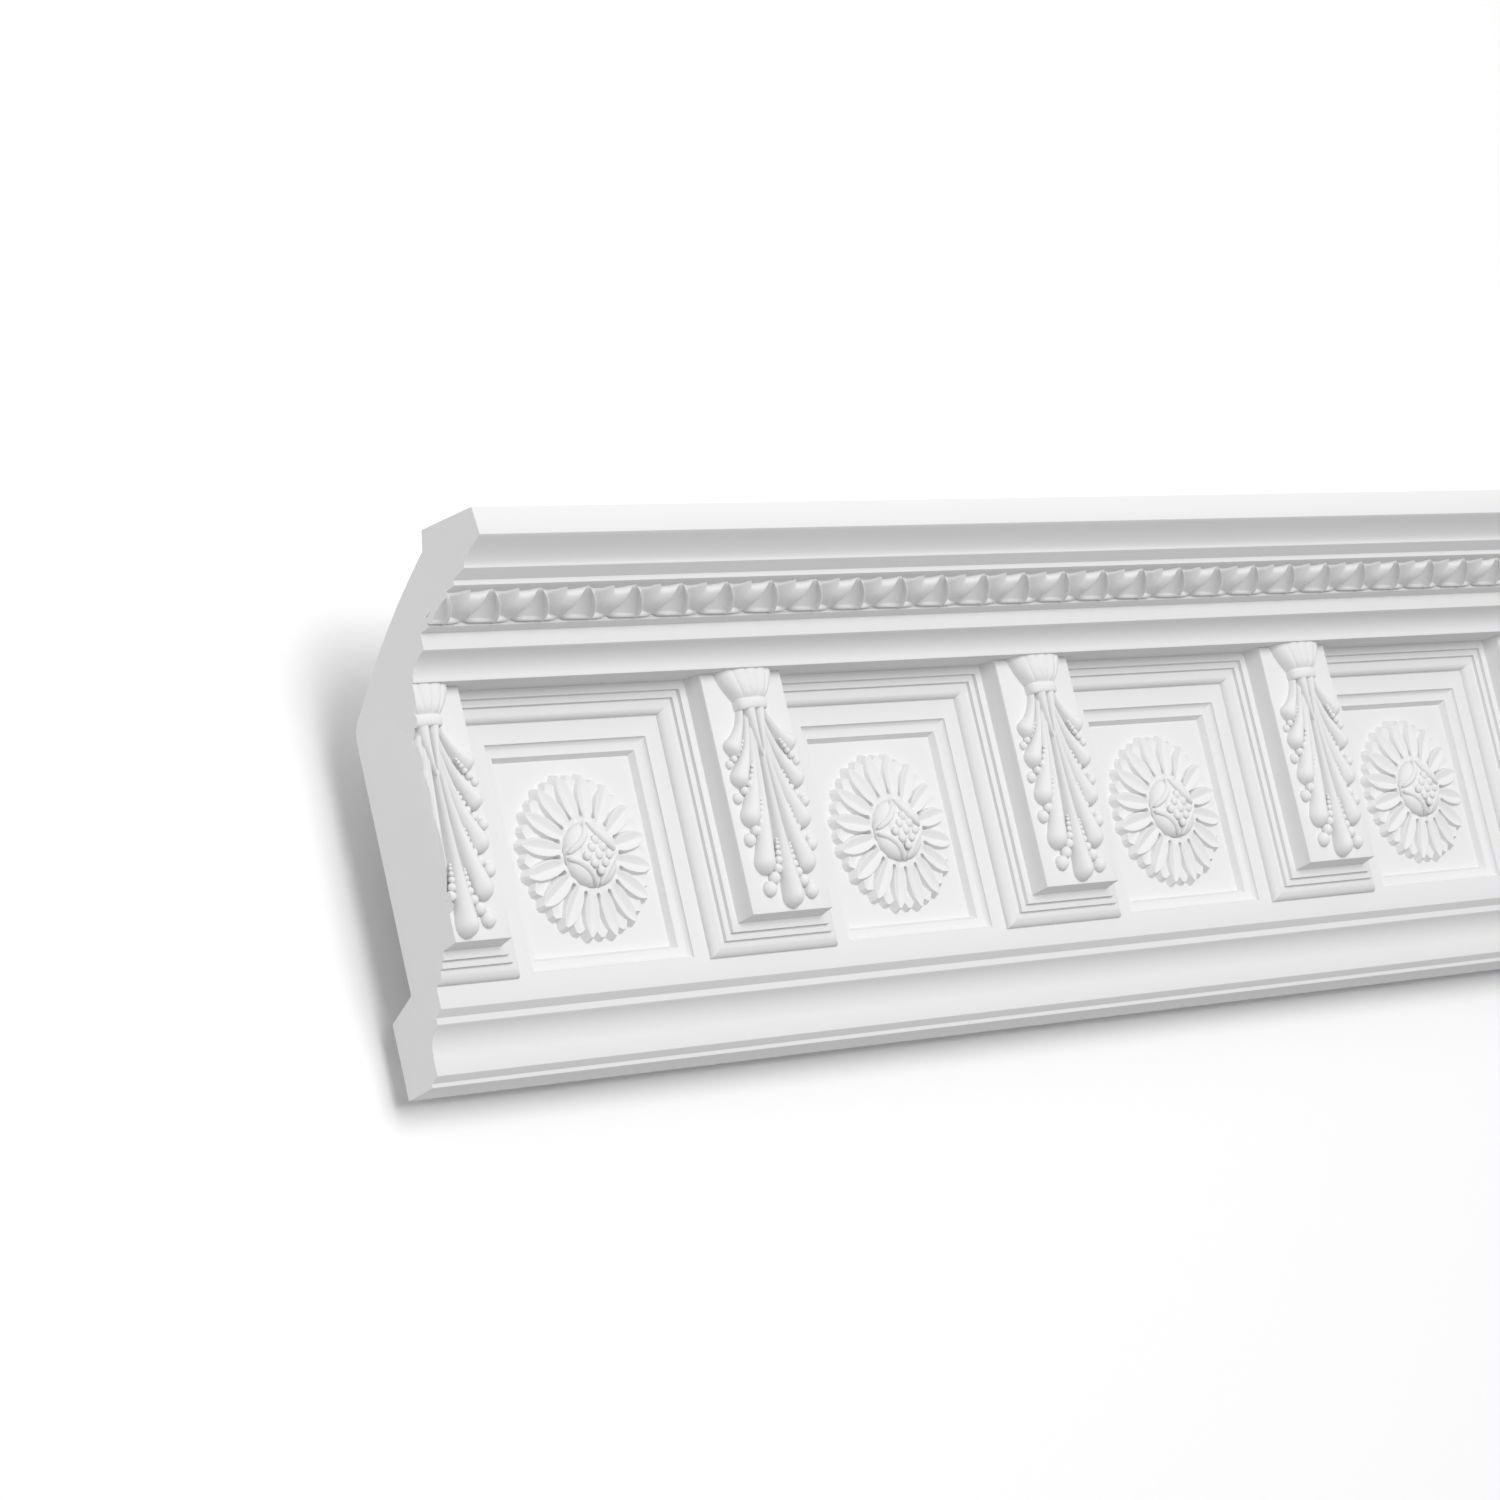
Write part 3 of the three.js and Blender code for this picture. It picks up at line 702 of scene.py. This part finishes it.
def bead(across, drop, radius, lift):
    """Single bead over the modillion's face."""
    bm = bmesh.new()
    place = Matrix.Translation(on_face(across, drop, lift)) @ Matrix.Diagonal((1, 0.95, 1, 1))
    fineness = 3 if radius > FINE_BALL else 2
    bmesh.ops.create_icosphere(bm, subdivisions=fineness, radius=radius * HUSK_SCALE, matrix=place)
    return body(bm, "bead")


def lobe_end(side, number):
    """End of a lobe: each next one hangs lower and a little nearer the middle."""
    widened = LOBE_WIDENING[side] * number * (number - 1) / 2
    drop = LOBE_DROP[side] + LOBE_GAP[side] * number + widened
    return LOBE_REACH[side] - LOBE_PULL[side] * number ** 2, drop


def lobe(side, number):
    """One lobe: slim where it leaves the ring, then bowed outwards to a round end."""
    across, drop = lobe_end(side, number)
    top = LOBE_TOP[0] / (1 + LOBE_TOP_NARROWING * number)
    top_drop = LOBE_TOP[1] + LOBE_TOP_LOWERING * number ** 2
    points = [
        (side * (top + (across - top) * way_out), top_drop + (drop - top_drop) * way_down)
        for way_out, way_down in LOBE_BENDS
    ]
    radius = LOBE_RADIUS + LOBE_SWELLING * number
    return teardrop("lobe", points, radius, LOBE_RISE + LOBE_RISING * number, STEM_RISE)


def bead_string(side, number):
    """Beads that touch and grow down along a curve beside a lobe."""
    across, drop = lobe_end(side, number)
    drop += STRING_SHIFT[side]
    start_above = STRING_START_ABOVE + STRING_START_CLIMB * number
    bend_above = STRING_BEND_ABOVE + STRING_BEND_CLIMB * number
    first = Vector((across * STRING_STARTS[number], drop - start_above))
    bend = Vector((across * (STRING_BENDS[number] + STRING_LEAN[side]), drop - bend_above))
    last = Vector((across + STRING_ENDS[number], drop + STRING_END_BELOW + STRING_END_FALL * number))
    count = STRING_BEADS + max(0, number - 1)
    sizes = (SMALL_BEAD, LARGE_BEAD + BEAD_GROWTH * number)
    growth = (sizes[1] / sizes[0]) ** (1 / (count - 1))
    radii = [sizes[0] * growth ** step for step in range(count)]
    steps = [0.0]
    for before, after in zip(radii, radii[1:]):
        steps.append(steps[-1] + before + after)
    path, _ = even_path([first, bend, bend, last])
    beads = []
    for radius, step in zip(radii, steps):
        share = step / steps[-1] * (len(path) - 1)
        spot = min(int(share), len(path) - 2)
        place = path[spot].lerp(path[spot + 1], share - spot)
        seat = BEAD_SEAT * (1 - step / steps[-1]) + 0.1 * radius
        beads.append(bead(side * place.x, place.y, radius, seat))
    return beads


def strap(side):
    """One of the two straps that run to a point below the ring."""
    path, _ = even_path([(side * across, drop) for across, drop in STRAP_ROUTE])

    def narrowing(sizes):
        start, end = sizes
        return lambda share: (start - (start - end) * share) * math.sqrt(clamp((1 - share) / STRAP_END_ROUND))

    return pod("strap", path, narrowing(STRAP_HALF), narrowing(STRAP_RISE), flat=0.5)


def husk_drop():
    """Cap, ring, straps, lobes with their strings of beads, and the pendant in the middle."""
    pieces = [ring()]
    for side in (-1, 1):
        for number in range(LOBE_COUNT):
            pieces.append(lobe(side, number))
            pieces += bead_string(side, number)
        pieces.append(strap(side))
    pieces.append(
        teardrop("pendant", PENDANT_ROUTE, PENDANT_RADIUS, PENDANT_RISE, PENDANT_STEM_RISE, rings=26)
    )
    return carved(cap(), pieces, "UNION")


# Twisted ribbon

RIBBON_TURNS = 7  # turns in a module
RIBBON_PITCH = MODULE / RIBBON_TURNS
BODY_ROWS = 7
LEAST_LIFT = 0.02
RIBBON_PHASE = 25.6  # first main tip, from the left end
BED_LENGTH = math.hypot(*RIBBON_BED)
BED_DOWN = Vector((-RIBBON_BED[0], RIBBON_BED[1])) / BED_LENGTH


def on_bed(x, down, lift):
    """Point over the ribbon's sloping bed."""
    out = RIBBON_TOP_OUT + BED_DOWN.x * down + BED_DOWN.y * lift
    return Vector((x, out, RIBBON_TOP + BED_DOWN.y * down - BED_DOWN.x * lift))


# Bows down the bed: their value at the top, half-way and at the foot
RIM = (1.4, 8.0, 10.7)  # raised rim that leaves the main tip, along X from that tip
RIM_RISE = (2.2, 3.6, 2.9)
RIM_HALF = 0.75
RIM_CREASE = 0.9
RIM_SLOPE = (3.0, 0.3, 0.6)
LESSER_TIP = (15.5, 13.4, 17.4)
LESSER_RISE = (0.9, 1.9, 1.0)
LESSER_SIDE = (1.4, 2.1, 2.6)
LESSER_SIDE_RISE = (1.5, 2.6, 1.5)
STRAND = (22.1, 20.8, 22.4)  # rounded strand between two leaves
STRAND_RISE = (2.6, 3.8, 0.9)
STRAND_LEFT = 4.0
STRAND_RIGHT = 3.3
STRAND_SLIMMING = 0.8
SLIMMING_FROM = 0.4
SLIMMING_LENGTH = 0.45
EDGE_SHARE = 0.87  # lift of the strand's edges, as a share of its crest
SECOND_HOLLOW_RISE = (0.8, 0.8, 0.6)
LEAF_RISE = (1.3, 0.7, 1.9)
LEAF_RISE_BY_RIM = (1.1, 2.0, 2.0)
LEAF_CREASE = (2.0, 1.2, 2.2)
# Top edge: tips that reach over the bed, and scallops between them that lean to their left
TIP_OVER = 1.3
SCALLOP_SAG = 2.8
SCALLOP_LEAN = 0.9
STRAND_SCALLOP_LEAN = 0.5
TOP_ROUNDING = 1.6
# Lip at the foot of each leaf
LIP_MIDDLE = 17.1
LIP_HALF = 1.7
LIP_RISE = 2.5


def bow(values, share):
    """Value along a bow through its top, its waist and its foot."""
    top, waist, foot = values
    ends = top * (1 - share) * (1 - 2 * share) + foot * share * (2 * share - 1)
    return ends + 4 * waist * share * (1 - share)


def quarter_round(share):
    """Height of a quarter circle over a share of its width."""
    return math.sqrt(1 - (1 - clamp(share)) ** 2)


def one_turn(share):
    """Lines across one turn at a share of the way down: along X, lift, and share of the lip."""
    rim, rim_rise = bow(RIM, share), bow(RIM_RISE, share)
    lesser, lesser_side = bow(LESSER_TIP, share), bow(LESSER_SIDE, share)
    strand, strand_rise = bow(STRAND, share), bow(STRAND_RISE, share)
    width = 1 - STRAND_SLIMMING * ease((share - SLIMMING_FROM) / SLIMMING_LENGTH)
    left, right = strand - STRAND_LEFT * width, strand + STRAND_RIGHT * width
    slope_foot = rim + RIM_HALF + bow(RIM_SLOPE, share)
    second, leaf = bow(SECOND_HOLLOW_RISE, share), bow(LEAF_RISE, share)
    crease = right + bow(LEAF_CREASE, share)
    next_rim = RIBBON_PITCH + rim - RIM_HALF - RIM_CREASE
    return [
        (rim - RIM_HALF - RIM_CREASE, bow(LEAF_RISE_BY_RIM, share), 1),
        (rim - RIM_HALF, rim_rise, 1),
        (rim + RIM_HALF, rim_rise, 1),
        (slope_foot, second, 1),
        ((slope_foot + lesser) / 2, second, 1),
        (lesser, bow(LESSER_RISE, share), 0.9),
        (lesser + lesser_side, bow(LESSER_SIDE_RISE, share), 0.7),
        (left, strand_rise * EDGE_SHARE, 0),
        (strand, strand_rise, 0),
        (right, strand_rise * EDGE_SHARE, 0),
        (crease, leaf, 0.9),
        ((crease + next_rim) / 2, leaf, 1),
    ]


def top_edge(along):
    """Where a line starts on the bed."""
    lesser = LESSER_TIP[0]
    if along < lesser:
        share = clamp(along / lesser) ** SCALLOP_LEAN
    else:
        share = clamp((along - lesser) / (RIBBON_PITCH - lesser)) ** STRAND_SCALLOP_LEAN
    return 4 * SCALLOP_SAG * share * (1 - share) - TIP_OVER


def ribbon_row(row):
    """Points of the lines of one turn at a row, given as its share of the top edge and its way down."""
    kept, reach = row
    points = []
    for number, (top, _, _) in enumerate(one_turn(0)):
        start = top_edge(top)
        down = start * kept + reach
        along, lift, lipped = one_turn(clamp((down - start) / (LIP_MIDDLE - start)))[number]
        closing = math.sqrt(clamp(1 - ((down - LIP_MIDDLE) / LIP_HALF) ** 2))
        lift *= quarter_round((down - start) / TOP_ROUNDING)
        if down > LIP_MIDDLE:
            lift *= closing
        points.append(Vector((along, down, max(lift, lipped * LIP_RISE * closing))))
    return points


def between_four(points, share):
    """Smooth curve through the second and third of four points."""
    before, start, end, after = points
    bend = (end - before) * share + (2 * before - 5 * start + 4 * end - after) * share ** 2
    return start + 0.5 * (bend + (3 * start - before - 3 * end + after) * share ** 3)


def ribbon():
    """Ribbon wound along its bed: leaf-shaped hollows with a rim, and rounded strands between them."""
    rounding = [(1, TOP_ROUNDING * step) for step in (0, 0.1, 0.3, 0.6, 1)]
    body_foot = LIP_MIDDLE - LIP_HALF
    middle = [
        (1 - step / BODY_ROWS, TOP_ROUNDING + (body_foot - TOP_ROUNDING) * step / BODY_ROWS)
        for step in range(1, BODY_ROWS + 1)
    ]
    around_lip = [math.radians(angle) for angle in (-65, -40, -15, 10, 40, 65, 90)]
    lip_rows = [(0, LIP_MIDDLE + LIP_HALF * math.sin(angle)) for angle in around_lip]
    rows = [ribbon_row(row) for row in rounding + middle + lip_rows]
    count = len(rows[0])
    turns = math.ceil(LENGTH / RIBBON_PITCH) + 2
    lines = [line + share for line in range(-2 * count, turns * count) for share in (0, 0.5)]

    def point(line, row):
        near = []
        for number in range(math.floor(line) - 1, math.floor(line) + 3):
            turn, place = divmod(number, count)
            near.append(rows[row][place] + Vector((RIBBON_PHASE + turn * RIBBON_PITCH, 0, 0)))
        return between_four(near, line - math.floor(line))

    def surface(line, row):
        along, down, lift = point(line, row)
        return on_bed(along, down, max(lift, LEAST_LIFT))

    def foot(line, row):
        along, down, _ = point(line, row)
        return on_bed(along, down, -ROOT)

    return sheet("ribbon", lines, list(range(len(rows))), surface, foot)


# Whole casting

def middles(first, reach):
    """Middles of the pieces that show on the length, one in each module."""
    places = []
    place = first - MODULE
    while place - reach < LENGTH:
        if place + reach > 0:
            places.append(place)
        place += MODULE
    return places


def cornice():
    """Plain run with all its carving, cut to length and turned upright."""
    block_places = middles(FIRST_MODILLION, MODILLION_WIDTH / 2 + MODILLION_DRAFT + FRAME_WIDTH)
    coffer_places = middles(FIRST_MODILLION + MODULE / 2, COFFER_HALF)
    raised = [*placed(modillion(), block_places), *placed(husk_drop(), block_places), ribbon()]
    casting = carved(plain_run(), raised, "UNION")
    casting = carved(casting, placed(coffer(), coffer_places), "DIFFERENCE")
    casting = carved(casting, placed(rosette(), coffer_places), "UNION")
    bm = bmesh.new()
    middle = Matrix.Translation((LENGTH / 2, LIP_OUT / 2, HEIGHT / 2))
    bmesh.ops.create_cube(bm, size=1, matrix=middle @ Matrix.Diagonal((LENGTH, 2 * LIP_OUT, 2 * HEIGHT, 1)))
    casting = carved(casting, [body(bm, "kept_length")], "INTERSECT")
    upright = Matrix.Scale(0.001, 4) @ Matrix.Translation((-LENGTH / 2, 0, HEIGHT - WALL_STRIP / 2))
    casting.data.transform(upright @ Matrix.Rotation(math.pi, 4, "X"))
    casting.data.name = "cornice_moulding"
    casting.data.shade_smooth()
    casting.data.set_sharp_from_angle(angle=SHADING_CORNER)
    bpy.context.scene.collection.objects.link(casting)
    return casting


# Finish

class Socket:
    """An output of a shader node, or a plain number, that can be added and multiplied."""

    def __init__(self, tree, output):
        self.tree = tree
        self.output = output

    def _math(self, operation, first, second):
        node = self.tree.nodes.new("ShaderNodeMath")
        node.operation = operation
        for slot, value in zip(node.inputs, (first, second)):
            if isinstance(value, Socket):
                self.tree.links.new(value.output, slot)
            else:
                slot.default_value = value
        return Socket(self.tree, node.outputs[0])

    def __add__(self, other):
        return self._math("ADD", self, other)

    __radd__ = __add__

    def __mul__(self, other):
        return self._math("MULTIPLY", self, other)

    __rmul__ = __mul__

    def __sub__(self, other):
        return self._math("SUBTRACT", self, other)

    def __rsub__(self, other):
        return self._math("SUBTRACT", other, self)


class Paint:
    """Material whose nodes are made one at a time: settings first, then sockets."""

    def __init__(self, name):
        self.material = bpy.data.materials.new(name)
        self.material.use_nodes = True
        self.tree = self.material.node_tree
        self.tree.nodes.clear()

    def node(self, kind, output, settings=None, **sockets):
        made = self.tree.nodes.new(kind)
        for name, value in (settings or {}).items():
            setattr(made, name, value)
        for name, value in sockets.items():
            slot = made.inputs[name.replace("_", " ")]
            if isinstance(value, Socket):
                self.tree.links.new(value.output, slot)
            else:
                slot.default_value = value
        return Socket(self.tree, made.outputs[output])


def primed_polyurethane():
    """Matt white factory primer over a slightly grained casting."""
    paint = Paint("primed_polyurethane")
    place = paint.node("ShaderNodeTexCoord", "Object")
    grain = paint.node("ShaderNodeTexNoise", "Fac", Vector=place, Scale=900.0, Detail=3.0)
    cloud = paint.node("ShaderNodeTexNoise", "Fac", Vector=place, Scale=18.0, Detail=2.0)
    normal = paint.node("ShaderNodeBump", "Normal", Strength=0.06, Distance=0.0002, Height=grain)
    shader = paint.node(
        "ShaderNodeBsdfPrincipled", "BSDF",
        Base_Color=(0.83, 0.83, 0.828, 1), Roughness=0.56 + cloud * 0.06, Normal=normal, IOR=1.45,
    )
    finish_with(paint, shader)
    return paint.material


def finish_with(paint, shader):
    """Connect a shader to the material's surface."""
    output = paint.tree.nodes.new("ShaderNodeOutputMaterial")
    paint.tree.links.new(shader.output, output.inputs["Surface"])


def wall_paint():
    """White from the front. From behind it lets the view through, so that the back of the piece shows."""
    paint = Paint("pale_wall")
    front = paint.node("ShaderNodeBsdfPrincipled", "BSDF", Base_Color=(0.99, 0.99, 0.99, 1), Roughness=0.9)
    clear = paint.node("ShaderNodeBsdfTransparent", "BSDF")
    behind = paint.node("ShaderNodeNewGeometry", "Backfacing")
    mix = paint.tree.nodes.new("ShaderNodeMixShader")
    for slot, socket in zip(mix.inputs, (behind, front, clear)):
        paint.tree.links.new(socket.output, slot)
    finish_with(paint, Socket(paint.tree, mix.outputs["Shader"]))
    return paint.material


# Scene

moulding = cornice()
moulding.name = "cornice_casting"
moulding.data.materials.append(primed_polyurethane())
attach(moulding, "root")
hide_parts("cornice_moulding")


def stage():
    """Pale wall a little behind the moulding."""
    bm = bmesh.new()
    place = Matrix.Translation((1.5, 0.012, 0)) @ Matrix.Rotation(math.pi / 2, 4, "X")
    bmesh.ops.create_grid(bm, x_segments=1, y_segments=1, size=6, matrix=place)
    wall = body(bm, "wall")
    wall.data.materials.append(wall_paint())
    bpy.context.scene.collection.objects.link(wall)


def lamp(name, size, power, place, target):
    """Round soft light turned towards a point."""
    light = bpy.data.lights.new(name, "AREA")
    light.shape = "DISK"
    light.size = size
    light.energy = power
    made = bpy.data.objects.new(name, light)
    made.location = place
    made.rotation_euler = (Vector(target) - Vector(place)).to_track_quat("-Z", "Y").to_euler()
    bpy.context.scene.collection.objects.link(made)


SKY_BELOW = 0.24
SKY_ABOVE = 0.62


def studio():
    """Soft daylight from everywhere, and a large soft light in front, a little above and to the left."""
    world = bpy.data.worlds.new("soft_daylight")
    world.use_nodes = True
    tree = world.node_tree
    direction = tree.nodes.new("ShaderNodeTexCoord").outputs["Generated"]
    split = tree.nodes.new("ShaderNodeSeparateXYZ")
    spread = tree.nodes.new("ShaderNodeMapRange")
    spread.inputs["From Min"].default_value = -0.5
    spread.inputs["From Max"].default_value = 0.5
    spread.inputs["To Min"].default_value = SKY_BELOW
    spread.inputs["To Max"].default_value = SKY_ABOVE
    tree.links.new(direction, split.inputs["Vector"])
    tree.links.new(split.outputs["Z"], spread.inputs["Value"])
    tree.links.new(spread.outputs["Result"], tree.nodes["Background"].inputs["Strength"])
    tree.nodes["Background"].inputs["Color"].default_value = (1, 1, 1, 1)
    bpy.context.scene.world = world
    bpy.context.scene.view_settings.view_transform = "Standard"
    lamp("key", 2.2, 80, (-0.55, -3.3, 0.75), (0, 0, 0.1))


# Camera of the photograph, in metres, millimetres and degrees
CAMERA_PLACE = Vector((-2.007, -1.736, -0.268))
CAMERA_AIM = Vector((-0.3058, -0.06, 0.1164))
CAMERA_ROLL = -12.77
CAMERA_LENS = 126.63


def photograph():
    """Camera of the photograph, 1500 by 1500."""
    data = bpy.data.cameras.new("photograph")
    data.sensor_width = 36
    data.lens = CAMERA_LENS
    camera = bpy.data.objects.new("photograph", data)
    aimed = (CAMERA_AIM - CAMERA_PLACE).to_track_quat("-Z", "Y").to_matrix().to_4x4()
    rolled = Matrix.Rotation(math.radians(CAMERA_ROLL), 4, "Z")
    camera.matrix_world = Matrix.Translation(CAMERA_PLACE) @ aimed @ rolled
    bpy.context.scene.collection.objects.link(camera)
    bpy.context.scene.camera = camera


stage()
studio()
photograph()
